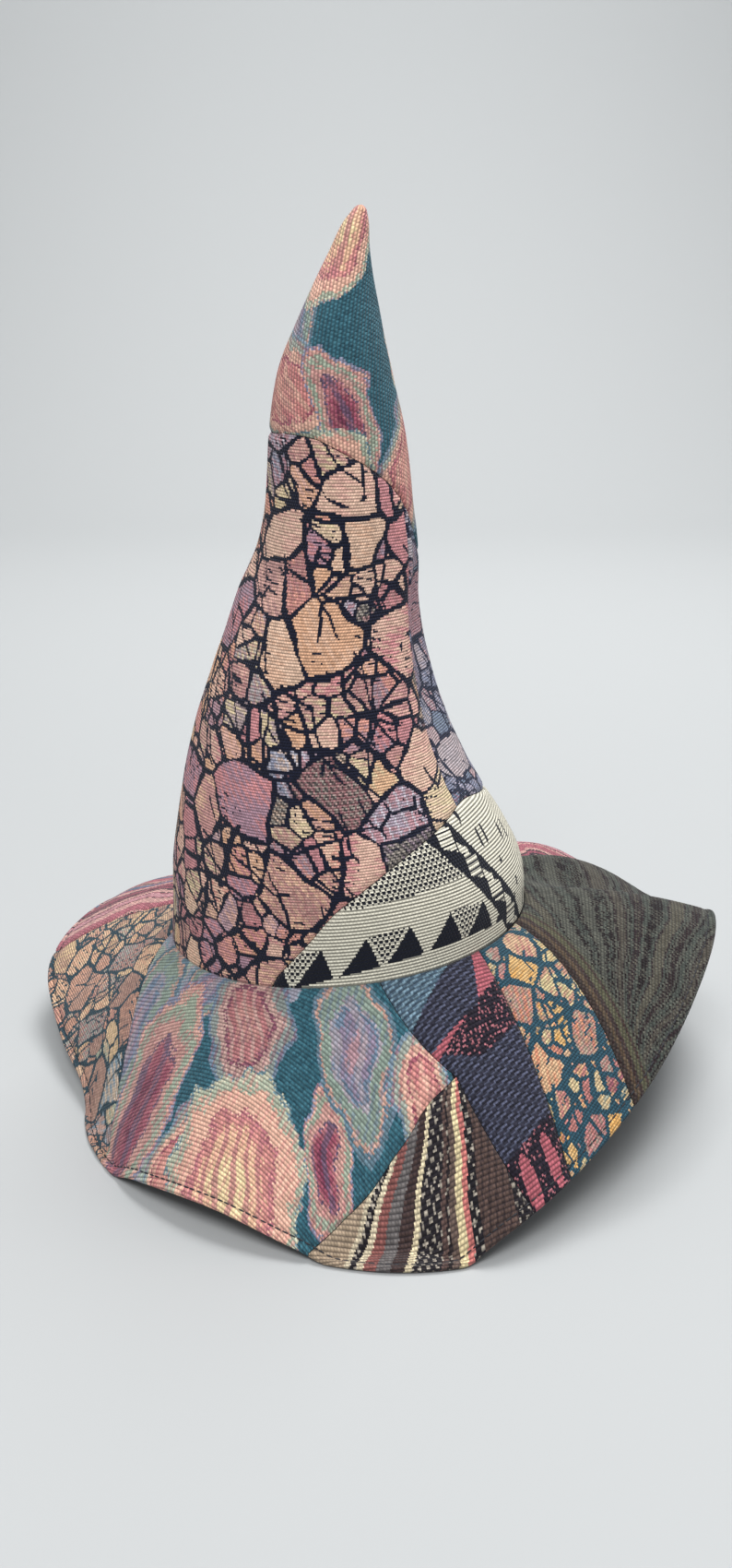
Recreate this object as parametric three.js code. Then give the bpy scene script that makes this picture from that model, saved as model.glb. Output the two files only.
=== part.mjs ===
// A patchwork pointed hat in thick tapestry cloth, standing on its own brim.
// A tall cone crown of four panels is sewn to a floppy brim of nine patches over one dark facing.
// Millimetres, +Z up, the front of the hat towards -Y.
import * as THREE from "three";

// Driving dimensions: the cloth
const CROWN_CLOTH = 1.6;
const BRIM_CLOTH = 1.4;
const FACING_CLOTH = 1.2;
const LAYER_GAP = 0.3;
const SEAM_GAP = 0.4;
const BRIM_STACK = BRIM_CLOTH + LAYER_GAP + FACING_CLOTH;

// Driving dimensions: the seam between crown and brim, which leans a little to one side and back
const FOOT_HEIGHT = 95;
const FOOT_ROLL = 0.1;
const FOOT_PITCH = 0.07;
const LEAN_FADES_OVER = 120;

// Driving dimension: how gently the brim's cloth levels out where it meets the floor
const FLOOR_EASE = 2;

// Driving dimensions: the pointed end, whose cloth closes before the outside does
const TIP_TOP_ROW = 441.5;
const TIP_APEX = { x: 7.6, y: 4, z: 443.5 };
const TIP_HOLLOW_TOP_ROW = 428;
const TIP_HOLLOW_APEX = { x: 4.8, y: 4, z: 431 };

// How finely the walls are faceted
const CROWN_COLUMN_STEP = 8;
const CROWN_ROWS = { tip: 7, front: 16, back: 14, side: 4 };
const BRIM_ROWS = [0, 0.15, 0.3, 0.42, 0.45, 0.58, 0.7, 0.81, 0.91, 1];
const PROBE = 0.001;

// The crown's level sections, from the brim seam to the point
const CROWN_SECTIONS = [
  { height: 95, centreX: 0, centreY: 0, halfWidth: 94.5, halfDepth: 94.5 },
  { height: 118, centreX: 0, centreY: 0, halfWidth: 92.5, halfDepth: 93 },
  { height: 140, centreX: -3.6, centreY: 0, halfWidth: 87.6, halfDepth: 89 },
  { height: 160, centreX: -7.6, centreY: 0, halfWidth: 80.2, halfDepth: 83 },
  { height: 182, centreX: -11, centreY: 0, halfWidth: 71.5, halfDepth: 75 },
  { height: 210, centreX: -12.8, centreY: 0, halfWidth: 61.8, halfDepth: 66 },
  { height: 240, centreX: -11.5, centreY: 0.5, halfWidth: 52.5, halfDepth: 57 },
  { height: 268, centreX: -8.7, centreY: 1, halfWidth: 45, halfDepth: 49.5 },
  { height: 292, centreX: -3.8, centreY: 1.5, halfWidth: 39.5, halfDepth: 43.5 },
  { height: 320, centreX: -2.8, centreY: 2, halfWidth: 34.8, halfDepth: 38 },
  { height: 348, centreX: -3.9, centreY: 2.5, halfWidth: 31.8, halfDepth: 33 },
  { height: 372, centreX: -4.3, centreY: 3, halfWidth: 26.8, halfDepth: 27.5 },
  { height: 400, centreX: -1, centreY: 3.5, halfWidth: 17.6, halfDepth: 18.5 },
  { height: 425, centreX: 3.2, centreY: 4, halfWidth: 9, halfDepth: 9.5 },
  { height: 436, centreX: 5.6, centreY: 4, halfWidth: 5.9, halfDepth: 5.9 },
  { height: 441.5, centreX: 7.2, centreY: 4, halfWidth: 3.2, halfDepth: 3.2 },
];

// Soft folds and dents in the crown: how far each pushes the cloth out, and over what spread
const CROWN_FOLDS = [
  { azimuth: -40, height: 235, out: 3.5, degrees: 10, tall: 55, lean: 0.1 },
  { azimuth: -22, height: 232, out: -4.5, degrees: 9, tall: 40, lean: 0.05 },
  { azimuth: -55, height: 288, out: -2.5, degrees: 12, tall: 14, lean: 0 },
  { azimuth: -125, height: 285, out: -2, degrees: 20, tall: 18, lean: 0 },
  { azimuth: -100, height: 205, out: 1.5, degrees: 28, tall: 40, lean: 0 },
];

// The brim's waves: reach and height of its edge, and how far the cloth arches on the way there.
// A height under the cloth's own thickness is where the brim lies flat on the floor.
const BRIM_WAVES = [
  { azimuth: 0, reach: 200, height: 90, arch: 6 },
  { azimuth: 13, reach: 203, height: 66, arch: 0 },
  { azimuth: 26, reach: 198, height: 60, arch: 13 },
  { azimuth: 33, reach: 193, height: 53, arch: 9 },
  { azimuth: 41, reach: 195, height: 60, arch: 11 },
  { azimuth: 58, reach: 188, height: 24, arch: 8 },
  { azimuth: 74, reach: 182, height: -11, arch: 4 },
  { azimuth: 96, reach: 179, height: -11, arch: 4 },
  { azimuth: 118, reach: 182, height: 12, arch: 4 },
  { azimuth: 140, reach: 191, height: 38, arch: 8 },
  { azimuth: 152, reach: 190, height: 40, arch: 8 },
  { azimuth: 166, reach: 183, height: 31, arch: 6 },
  { azimuth: 180, reach: 164, height: 18, arch: 6 },
  { azimuth: 197, reach: 149, height: 9, arch: 8 },
  { azimuth: 212, reach: 154, height: -12, arch: 7 },
  { azimuth: 230, reach: 158, height: 9, arch: 6 },
  { azimuth: 247, reach: 160, height: 15, arch: 4 },
  { azimuth: 262, reach: 166, height: 6, arch: 2 },
  { azimuth: 280, reach: 176, height: -15, arch: 2 },
  { azimuth: 294, reach: 180, height: 13, arch: 2 },
  { azimuth: 310, reach: 178, height: 33, arch: 2 },
  { azimuth: 325, reach: 181, height: 55, arch: 2 },
  { azimuth: 342, reach: 188, height: 79, arch: 4 },
];

// Heights of the seam under the pointed end panel, and of the side panel's curved upper edge
const TIP_SEAM = [
  { azimuth: 0, height: 288 },
  { azimuth: 40, height: 284 },
  { azimuth: 90, height: 312 },
  { azimuth: 140, height: 340 },
  { azimuth: 202, height: 346 },
  { azimuth: 250, height: 346 },
  { azimuth: 275, height: 340 },
  { azimuth: 300, height: 332 },
  { azimuth: 320, height: 322 },
  { azimuth: 340, height: 306 },
];
const SIDE_TOP = [
  { azimuth: -112, height: 96.2 },
  { azimuth: -104, height: 112 },
  { azimuth: -90, height: 135 },
  { azimuth: -59, height: 159 },
  { azimuth: -30, height: 169 },
  { azimuth: -8, height: 164 },
  { azimuth: 40, height: 144 },
  { azimuth: 90, height: 122 },
  { azimuth: 136, height: 96.2 },
];

// Upright seams of the crown
const LEFT_SEAM = -200;
const RIGHT_SEAM = -32;
const SIDE_START = SIDE_TOP[0].azimuth;
const SIDE_END = SIDE_TOP[SIDE_TOP.length - 1].azimuth;

// The brim's seams, each from the crown (reach 0) to the edge (reach 1)
const BRIM_SEAMS = {
  left: [{ reach: 0, azimuth: -173 }, { reach: 1, azimuth: -141 }],
  frontRight: [
    { reach: 0, azimuth: -80 },
    { reach: 0.42, azimuth: -66.5 },
    { reach: 0.45, azimuth: -73.5 },
    { reach: 0.58, azimuth: -81 },
    { reach: 0.8, azimuth: -89.6 },
    { reach: 1, azimuth: -96 },
  ],
  stripeRight: [{ reach: 0, azimuth: -80 }, { reach: 0.42, azimuth: -66.5 }, { reach: 1, azimuth: -61 }],
  diamondRight: [{ reach: 0, azimuth: -46 }, { reach: 1, azimuth: -54 }],
  mosaicRight: [{ reach: 0, azimuth: -24 }, { reach: 1, azimuth: -40 }],
  darkEnd: [{ reach: 0, azimuth: 33 }, { reach: 1, azimuth: 33 }],
  roseEnd: [{ reach: 0, azimuth: 80 }, { reach: 1, azimuth: 80 }],
  backEnd: [{ reach: 0, azimuth: 122 }, { reach: 1, azimuth: 122 }],
  ruddyEnd: [{ reach: 0, azimuth: 162 }, { reach: 1, azimuth: 162 }],
  leftAgain: [{ reach: 0, azimuth: 187 }, { reach: 1, azimuth: 219 }],
};

// The brim's patches in order round the hat. The stripe patch only starts where its two seams part.
const BRIM_PATCHES = [
  { name: "brim_front_patch", from: "left", to: "frontRight", columns: 16, color: 0x6f8484 },
  { name: "brim_stripe_patch", from: "frontRight", to: "stripeRight", columns: 6, firstRow: 3, color: 0x4a3b37 },
  { name: "brim_diamond_patch", from: "stripeRight", to: "diamondRight", columns: 6, color: 0x33354a },
  { name: "brim_mosaic_patch", from: "diamondRight", to: "mosaicRight", columns: 4, color: 0xa58a63 },
  { name: "brim_dark_patch", from: "mosaicRight", to: "darkEnd", columns: 16, color: 0x3d3f3c },
  { name: "brim_rose_patch", from: "darkEnd", to: "roseEnd", columns: 10, color: 0x8a5f66 },
  { name: "brim_back_patch", from: "roseEnd", to: "backEnd", columns: 8, color: 0x45484b },
  { name: "brim_ruddy_patch", from: "backEnd", to: "ruddyEnd", columns: 7, color: 0x8f6470 },
  { name: "brim_left_patch", from: "ruddyEnd", to: "leftAgain", columns: 11, color: 0xb0917a },
];

const radians = THREE.MathUtils.degToRad;
const degrees = THREE.MathUtils.radToDeg;

// A table read at any place along its first column, by smooth curves through its rows.
// With a period the last row runs on into the first.
function tableReader(rows, period = 0) {
  const [along, ...columns] = Object.keys(rows[0]);
  const shifted = (row, turns) => ({ ...row, [along]: row[along] + turns * period });
  const knots = period
    ? [...rows.slice(-2).map((row) => shifted(row, -1)), ...rows, ...rows.slice(0, 2).map((row) => shifted(row, 1))]
    : [rows[0], ...rows, rows[rows.length - 1]];
  const first = rows[0][along];
  return (place) => {
    const at = period ? first + THREE.MathUtils.euclideanModulo(place - first, period) : place;
    let i = 1;
    while (i < knots.length - 3 && knots[i + 1][along] <= at) i += 1;
    const [before, start, end, after] = knots.slice(i - 1, i + 3);
    const width = end[along] - start[along];
    const t = THREE.MathUtils.clamp((at - start[along]) / width, 0, 1);
    const read = {};
    for (const column of columns) {
      const leave = ((end[column] - before[column]) / (end[along] - before[along])) * width;
      const arrive = ((after[column] - start[column]) / (after[along] - start[along])) * width;
      read[column] =
        (2 * t ** 3 - 3 * t ** 2 + 1) * start[column] + (t ** 3 - 2 * t ** 2 + t) * leave +
        (3 * t ** 2 - 2 * t ** 3) * end[column] + (t ** 3 - t ** 2) * arrive;
    }
    return read;
  };
}

const crownSection = tableReader(CROWN_SECTIONS);
const brimWave = tableReader(BRIM_WAVES, 360);
const tipSeam = tableReader(TIP_SEAM, 360);
const sideTop = tableReader(SIDE_TOP);

// How far the folds push the crown's cloth out at one place
function foldAt(azimuth, height) {
  let out = 0;
  for (const fold of CROWN_FOLDS) {
    const middle = fold.azimuth + fold.lean * (height - fold.height);
    const aside = THREE.MathUtils.euclideanModulo(azimuth - middle + 180, 360) - 180;
    const up = height - fold.height;
    out += fold.out * Math.exp(-0.5 * (aside / fold.degrees) ** 2 - 0.5 * (up / fold.tall) ** 2);
  }
  return out;
}

// The outside of the crown, by azimuth in degrees and height
function crownPoint(azimuth, height) {
  const section = crownSection(height);
  const out = foldAt(azimuth, height);
  const x = section.centreX + (section.halfWidth + out) * Math.cos(radians(azimuth));
  const y = section.centreY + (section.halfDepth + out) * Math.sin(radians(azimuth));
  const lean = THREE.MathUtils.clamp(1 - (height - FOOT_HEIGHT) / LEAN_FADES_OVER, 0, 1);
  return new THREE.Vector3(x, y, height + (FOOT_ROLL * x - FOOT_PITCH * y) * lean);
}

// The top of the brim, by azimuth in degrees and reach from the crown (0) to the edge (1)
function brimPoint(azimuth, reach) {
  const wave = brimWave(azimuth);
  const outward = new THREE.Vector3(Math.cos(radians(azimuth)), Math.sin(radians(azimuth)), 0);
  const neck = crownPoint(azimuth, FOOT_HEIGHT).addScaledVector(outward, SEAM_GAP);
  const edge = outward.clone().multiplyScalar(wave.reach).setZ(wave.height);
  const point = neck.lerp(edge, reach);
  point.z += wave.arch * 4 * reach * (1 - reach);
  point.z = layOnFloor(point.z - BRIM_STACK) + BRIM_STACK;
  return point;
}

// A height above the floor that levels out smoothly to zero instead of going below it
function layOnFloor(height) {
  if (height > FLOOR_EASE) return height;
  return Math.max(height + FLOOR_EASE, 0) ** 2 / (4 * FLOOR_EASE);
}

// The outward unit normal of a surface that runs anticlockwise along u and upwards along v
function normalAt(surface, u, v) {
  const alongU = surface(u + PROBE, v).sub(surface(u - PROBE, v));
  const alongV = surface(u, v + PROBE).sub(surface(u, v - PROBE));
  return alongU.cross(alongV).normalize();
}

const crownWall = (depth) => (azimuth, height) =>
  crownPoint(azimuth, height).addScaledVector(normalAt(crownPoint, azimuth, height), -depth);

// The brim's reach runs outwards and down, so its upward normal is the opposite one
const brimWall = (depth) => (azimuth, reach) =>
  brimPoint(azimuth, reach).addScaledVector(normalAt(brimPoint, azimuth, reach), depth);

// A closed wall between two grids of points, outside and inside, with the same rows and columns.
// A ring's last column is its first again. A pair of points closes the top row to a tip.
function closedWall(outside, inside, { ring = false, tips = null } = {}) {
  const triangles = [];
  const quad = (a, b, c, d) => triangles.push([a, b, c], [a, c, d]);
  const top = outside.length - 1;
  const side = outside[0].length - 1;
  for (let c = 0; c < side; c += 1) {
    for (let r = 0; r < top; r += 1) {
      quad(outside[r][c], outside[r][c + 1], outside[r + 1][c + 1], outside[r + 1][c]);
      quad(inside[r][c], inside[r + 1][c], inside[r + 1][c + 1], inside[r][c + 1]);
    }
    quad(inside[0][c], inside[0][c + 1], outside[0][c + 1], outside[0][c]);
    if (tips) {
      triangles.push([outside[top][c], outside[top][c + 1], tips.outside]);
      triangles.push([inside[top][c + 1], inside[top][c], tips.inside]);
    } else {
      quad(outside[top][c], outside[top][c + 1], inside[top][c + 1], inside[top][c]);
    }
  }
  for (let r = 0; r < top && !ring; r += 1) {
    quad(outside[r][0], outside[r + 1][0], inside[r + 1][0], inside[r][0]);
    quad(outside[r][side], inside[r][side], inside[r + 1][side], outside[r + 1][side]);
  }
  return geometryOf(triangles);
}

// One geometry of shared vertices, without the triangles that a pinched column leaves flat.
// A grid that runs clockwise comes out inside out, so its triangles are turned over.
function geometryOf(triangles) {
  const indices = new Map();
  const positions = [];
  const indexOf = (point) => {
    const key = point.toArray().map((value) => value.toFixed(3)).join();
    if (!indices.has(key)) {
      indices.set(key, indices.size);
      positions.push(...point.toArray());
    }
    return indices.get(key);
  };
  let volume = 0;
  const faces = [];
  for (const [a, b, c] of triangles) {
    const face = [indexOf(a), indexOf(b), indexOf(c)];
    if (new Set(face).size < 3) continue;
    faces.push(face);
    volume += a.dot(b.clone().cross(c));
  }
  const geometry = new THREE.BufferGeometry();
  geometry.setAttribute("position", new THREE.Float32BufferAttribute(positions, 3));
  geometry.setIndex(faces.flatMap(([a, b, c]) => (volume < 0 ? [a, c, b] : [a, b, c])));
  geometry.computeVertexNormals();
  return geometry;
}

const hat = new THREE.Group();

function addMesh(name, geometry, color, roughness = 0.92) {
  const material = new THREE.MeshStandardMaterial({ color, roughness, metalness: 0 });
  const mesh = new THREE.Mesh(geometry, material);
  mesh.name = name;
  hat.add(mesh);
}

// Evenly spaced values from start to end
const spread = (start, end, steps) =>
  Array.from({ length: steps + 1 }, (_, i) => start + ((end - start) * i) / steps);

// A crown panel between two heights that follow the azimuth, on columns that every panel shares
function crownPanel({ from, to, rows, lower, upper, hollowUpper = upper, ...closing }) {
  const azimuths = spread(from, to, Math.round((to - from) / CROWN_COLUMN_STEP));
  const trim = (azimuth) => {
    const aside = degrees(SEAM_GAP / 2 / crownSection(lower(azimuth)).halfWidth);
    return closing.ring ? azimuth : THREE.MathUtils.clamp(azimuth, from + aside, to - aside);
  };
  const grid = (surface, upperEdge) =>
    spread(0, 1, rows).map((t) =>
      azimuths.map((azimuth) => {
        const height = THREE.MathUtils.lerp(lower(azimuth), upperEdge(azimuth), t);
        return surface(trim(azimuth), height);
      }));
  return closedWall(grid(crownPoint, upper), grid(crownWall(CROWN_CLOTH), hollowUpper), closing);
}

const footEdge = () => FOOT_HEIGHT + SEAM_GAP / 2;
const underTip = (azimuth) => tipSeam(azimuth).height - SEAM_GAP / 2;
const overTip = (azimuth) => tipSeam(azimuth).height + SEAM_GAP / 2;
const overSide = (azimuth) => sideTop(azimuth).height + SEAM_GAP / 2;
const underSide = (azimuth) => sideTop(azimuth).height - SEAM_GAP / 2;
const besideSide = (azimuth) =>
  azimuth < SIDE_START || azimuth > SIDE_END ? footEdge() : overSide(azimuth);

addMesh("crown_tip_panel", crownPanel({
  from: LEFT_SEAM,
  to: LEFT_SEAM + 360,
  rows: CROWN_ROWS.tip,
  lower: overTip,
  upper: () => TIP_TOP_ROW,
  hollowUpper: () => TIP_HOLLOW_TOP_ROW,
  ring: true,
  tips: { outside: new THREE.Vector3().copy(TIP_APEX), inside: new THREE.Vector3().copy(TIP_HOLLOW_APEX) },
}), 0x5d7a80);

addMesh("crown_front_panel", crownPanel({
  from: LEFT_SEAM, to: RIGHT_SEAM, rows: CROWN_ROWS.front, lower: besideSide, upper: underTip,
}), 0xb88d7d);

addMesh("crown_back_panel", crownPanel({
  from: RIGHT_SEAM, to: LEFT_SEAM + 360, rows: CROWN_ROWS.back, lower: besideSide, upper: underTip,
}), 0x8a86a0);

addMesh("crown_side_panel", crownPanel({
  from: SIDE_START, to: SIDE_END, rows: CROWN_ROWS.side, lower: footEdge, upper: underSide,
}), 0xc9c5b4);

// A seam's azimuth at one reach, along the straight lines between its rows
function seamAt(seam, reach) {
  const rows = BRIM_SEAMS[seam];
  const next = Math.max(1, rows.findIndex((row) => row.reach >= reach));
  const [start, end] = [rows[next - 1], rows[next]];
  return THREE.MathUtils.mapLinear(reach, start.reach, end.reach, start.azimuth, end.azimuth);
}

// The azimuths of a patch's columns at one reach, the outer two drawn in from its seams by the trim
function patchColumns(patch, reach, trim) {
  const [from, to] = [seamAt(patch.from, reach), seamAt(patch.to, reach)];
  const radius = THREE.MathUtils.lerp(CROWN_SECTIONS[0].halfWidth, brimWave(from).reach, reach);
  const aside = Math.min(degrees(trim / radius), (to - from) / 2);
  const azimuths = spread(from, to, patch.columns);
  azimuths[0] += aside;
  azimuths[patch.columns] -= aside;
  return azimuths;
}

for (const patch of BRIM_PATCHES) {
  const rows = BRIM_ROWS.slice(patch.firstRow ?? 0);
  const grid = (surface) => rows.map((reach) =>
    patchColumns(patch, reach, SEAM_GAP / 2).map((azimuth) => surface(azimuth, reach)));
  addMesh(patch.name, closedWall(grid(brimPoint), grid(brimWall(BRIM_CLOTH))), patch.color);
}

// The facing is one ring under all the patches, on the same columns so that the layers stay parallel
const facingGrid = (depth) => BRIM_ROWS.map((reach) =>
  BRIM_PATCHES.flatMap((patch, i) => patchColumns(patch, reach, 0).slice(i ? 1 : 0))
    .map((azimuth) => brimWall(depth)(azimuth, reach)));
addMesh("brim_facing",
  closedWall(facingGrid(BRIM_CLOTH + LAYER_GAP), facingGrid(BRIM_STACK), { ring: true }), 0x2a2b2e, 0.95);

// The middle of the hat's outline stands on the origin
const middle = new THREE.Box3().setFromObject(hat).getCenter(new THREE.Vector3());
hat.position.set(-middle.x, -middle.y, 0);

export default hat;
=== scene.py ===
import math
from functools import partialmethod

import bmesh
import bpy
from mathutils import Matrix, Vector, kdtree, noise


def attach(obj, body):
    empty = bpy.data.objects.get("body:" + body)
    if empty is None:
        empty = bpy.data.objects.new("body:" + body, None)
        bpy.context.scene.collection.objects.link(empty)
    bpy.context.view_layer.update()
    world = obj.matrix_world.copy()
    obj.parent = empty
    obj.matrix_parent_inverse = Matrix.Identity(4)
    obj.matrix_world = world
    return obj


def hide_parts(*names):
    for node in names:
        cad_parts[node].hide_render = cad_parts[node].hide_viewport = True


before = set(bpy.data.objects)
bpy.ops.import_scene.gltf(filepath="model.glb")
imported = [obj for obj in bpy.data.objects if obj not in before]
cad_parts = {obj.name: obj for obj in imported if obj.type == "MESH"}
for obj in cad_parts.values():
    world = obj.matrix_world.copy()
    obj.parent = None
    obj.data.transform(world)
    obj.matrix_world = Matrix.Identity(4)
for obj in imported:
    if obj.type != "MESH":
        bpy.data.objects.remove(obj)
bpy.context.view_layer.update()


# Camera
# The hat is seen from the front and a little above, upright in a tall narrow picture of 794 by 1700.
CAMERA_PLACE = (-0.00197, -0.64306, 0.425)
CAMERA_TILT = math.radians(68)
PICTURE_HEIGHT = 1700
FOCAL_PIXELS = 1436
SENSOR_WIDTH = 36.0
NEAREST_SEEN = 0.01

bpy.ops.object.select_all(action="DESELECT")
bpy.ops.object.camera_add(location=CAMERA_PLACE, rotation=(CAMERA_TILT, 0.0, 0.0))
camera = bpy.context.object
camera.data.sensor_width = SENSOR_WIDTH
camera.data.lens = FOCAL_PIXELS / PICTURE_HEIGHT * SENSOR_WIDTH
camera.data.clip_start = NEAREST_SEEN
bpy.context.scene.camera = camera


# Studio
# A sheet of pale paper lies under the hat and sweeps up behind it in one soft bend. Two large soft lamps hang
# above, one in front and one behind, a third lights the paper, and pale walls all round fill the shadows.
PAPER_WIDTH = 8.0
PAPER_FRONT = -3.4
PAPER_BACK = 2.4
PAPER_RISE = 3.4
PAPER_BEND = 0.9
PAPER_BEND_STEPS = 24
PAPER_COLOUR = (0.465, 0.479, 0.484, 1.0)
WALL_COLOUR = (0.97, 0.985, 1.0, 1.0)
WALL_STRENGTH = 0.37
TOUCHING = 1e-4

bpy.ops.mesh.primitive_plane_add(size=1.0)
paper = bpy.context.object
paper.name = "studio_paper"
paper_length = PAPER_BACK - PAPER_FRONT
bpy.ops.object.mode_set(mode="EDIT")
bpy.ops.transform.resize(value=(PAPER_WIDTH, paper_length, 1.0))
bpy.ops.transform.translate(value=(0.0, (PAPER_BACK + PAPER_FRONT) / 2, 0.0))


def choose_back_edge():
    """Select in edit mode only the paper's edge that lies on the floor at the back."""
    bpy.ops.mesh.select_mode(type="EDGE")
    bpy.ops.mesh.select_all(action="DESELECT")
    bpy.ops.object.mode_set(mode="OBJECT")
    for edge in paper.data.edges:
        ends = [paper.data.vertices[i].co for i in edge.vertices]
        edge.select = all(abs(end.y - PAPER_BACK) < TOUCHING and abs(end.z) < TOUCHING for end in ends)
    bpy.ops.object.mode_set(mode="EDIT")


choose_back_edge()
bpy.ops.mesh.extrude_region_move(TRANSFORM_OT_translate={"value": (0.0, 0.0, PAPER_RISE)})
choose_back_edge()
bpy.ops.mesh.bevel(offset=PAPER_BEND, segments=PAPER_BEND_STEPS)
bpy.ops.object.mode_set(mode="OBJECT")
bpy.ops.object.shade_smooth()
paper_finish = bpy.data.materials.new("studio_paper_finish")
paper_finish.use_nodes = True
paper_shader = paper_finish.node_tree.nodes["Principled BSDF"]
paper_shader.inputs["Base Color"].default_value = PAPER_COLOUR
paper_shader.inputs["Roughness"].default_value = 0.9
paper_shader.inputs["Specular IOR Level"].default_value = 0.2
paper.data.materials.append(paper_finish)

world = bpy.data.worlds.new("studio_walls")
world.use_nodes = True
world.node_tree.nodes["Background"].inputs["Color"].default_value = WALL_COLOUR
world.node_tree.nodes["Background"].inputs["Strength"].default_value = WALL_STRENGTH
bpy.context.scene.world = world
bpy.context.scene.view_settings.view_transform = "Standard"

# Lamps: place, point lit, width, spread in degrees, watts
LAMPS = [
    ((0.45, 0.65, 2.4), (0.0, 0.0, 0.1), 1.2, 150, 36.0),
    ((-0.25, -1.55, 2.75), (0.0, 0.0, 0.2), 1.2, 180, 57.0),
    ((0.0, 0.9, 1.9), (0.0, 2.4, 0.9), 1.4, 140, 14.0),
]
for lamp_place, lamp_aim, lamp_width, lamp_spread, lamp_watts in LAMPS:
    facing = (Vector(lamp_aim) - Vector(lamp_place)).to_track_quat("-Z", "Y").to_euler()
    bpy.ops.object.light_add(type="AREA", location=lamp_place, rotation=facing)
    lamp = bpy.context.object.data
    lamp.size = lamp_width
    lamp.spread = math.radians(lamp_spread)
    lamp.energy = lamp_watts


# Crown front panel
# The widest piece of the crown: thick tapestry woven in ribs, with salmon, peach and grey cells between
# navy crackle lines. Its edges are turned inside and sewn to the panels around it.
MM = 0.001
PER_CM = 0.1
HAT_MIDDLE = Vector((11.9706, 3.0611, 0.0))
CROWN_CLOTH = 1.6
SEAM_HALF_GAP = 0.12
SEAM_GAP_TURN = 0.1
SEAM_DIP = 1.15
SEAM_ROLL = 1.5
PUCKER_DEEP = 0.22
PUCKER_PITCH = 9.0
FOOT_HEIGHT = 95.0
FOOT_TUCK = 2.6
FOOT_HOLDS = 22.0
FOOT_ROLL = 0.1
FOOT_PITCH = 0.07
LEAN_FADES_OVER = 120.0
LEFT_SEAM = -200.0
RIGHT_SEAM = -32.0
FRONT_MIDDLE = -90
PANEL_STEP = 2.4
SEAM_STEPS = [0.0, 0.7, 1.5, 2.6]
MEAN_ARC = 0.8
PROBE = 0.01
WELD = 0.00002

# Creases from handling: width, height and depth
BROAD_CREASES = (34.0, 46.0, 1.2)
SMALL_CREASES = (11.0, 15.0, 0.2)
SMALL_CREASES_SHIFT = 7.0

# The crown's level sections: height, centre x, centre y, half width, half depth
CROWN_SECTIONS = [
    (95, 0, 0, 94.5, 94.5),
    (118, 0, 0, 92.5, 93),
    (140, -3.6, 0, 87.6, 89),
    (160, -7.6, 0, 80.2, 83),
    (182, -11, 0, 71.5, 75),
    (210, -12.8, 0, 61.8, 66),
    (240, -11.5, 0.5, 52.5, 57),
    (268, -8.7, 1, 45, 49.5),
    (292, -3.8, 1.5, 39.5, 43.5),
    (320, -2.8, 2, 34.8, 38),
    (348, -3.9, 2.5, 31.8, 33),
    (372, -4.3, 3, 26.8, 27.5),
    (400, -1, 3.5, 17.6, 18.5),
    (425, 3.2, 4, 9, 9.5),
    (436, 5.6, 4, 5.9, 5.9),
    (441.5, 7.2, 4, 3.2, 3.2),
]

# Soft folds in the crown: azimuth, height, push outwards, spread in degrees, spread in height, lean
CROWN_FOLDS = [
    (-40, 235, 3.5, 10, 55, 0.1),
    (-22, 232, -4.5, 9, 40, 0.05),
    (-55, 288, -2.5, 12, 14, 0),
    (-125, 285, -2, 20, 18, 0),
    (-100, 205, 1.5, 28, 40, 0),
]

# Heights of the seam under the pointed end, and of the side panel's curved upper edge, by azimuth
TIP_SEAM = [
    (0, 288), (40, 284), (90, 312), (140, 340), (202, 346), (250, 346), (275, 340), (300, 332),
    (320, 322), (340, 306),
]
SIDE_TOP = [
    (-112, 96.2), (-104, 112), (-90, 135), (-59, 159), (-30, 169), (-8, 164), (40, 144), (90, 122),
    (136, 96.2),
]


def table_reader(rows, period=0):
    """A table read anywhere along its first column, by smooth curves through its rows."""
    if period:
        before = [(row[0] - period, *row[1:]) for row in rows[-2:]]
        after = [(row[0] + period, *row[1:]) for row in rows[:2]]
        knots = before + rows + after
    else:
        knots = [rows[0], *rows, rows[-1]]

    def read(place):
        if period:
            place = rows[0][0] + (place - rows[0][0]) % period
        i = 1
        while i < len(knots) - 3 and knots[i + 1][0] <= place:
            i += 1
        early, start, end, late = knots[i - 1:i + 3]
        width = end[0] - start[0]
        t = min(max((place - start[0]) / width, 0.0), 1.0)
        values = []
        for a, b, c, d in list(zip(early, start, end, late))[1:]:
            leave = (c - a) / (end[0] - early[0]) * width
            arrive = (d - b) / (late[0] - start[0]) * width
            values.append((2 * t**3 - 3 * t**2 + 1) * b + (t**3 - 2 * t**2 + t) * leave
                          + (3 * t**2 - 2 * t**3) * c + (t**3 - t**2) * arrive)
        return values

    return read


crown_section = table_reader(CROWN_SECTIONS)
tip_seam = table_reader(TIP_SEAM, 360)
side_top = table_reader(SIDE_TOP)


def crown_point(azimuth, height):
    """The outside of the crown in millimetres, by azimuth in degrees and height."""
    centre_x, centre_y, half_width, half_depth = crown_section(height)
    out = 0.0
    for turn, middle, push, degrees, tall, slant in CROWN_FOLDS:
        aside = (azimuth - turn - slant * (height - middle) + 180) % 360 - 180
        out += push * math.exp(-0.5 * (aside / degrees) ** 2 - 0.5 * ((height - middle) / tall) ** 2)
    x = centre_x + (half_width + out) * math.cos(math.radians(azimuth))
    y = centre_y + (half_depth + out) * math.sin(math.radians(azimuth))
    lean = min(max(1 - (height - FOOT_HEIGHT) / LEAN_FADES_OVER, 0.0), 1.0)
    return Vector((x, y, height + (FOOT_ROLL * x - FOOT_PITCH * y) * lean))


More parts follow.
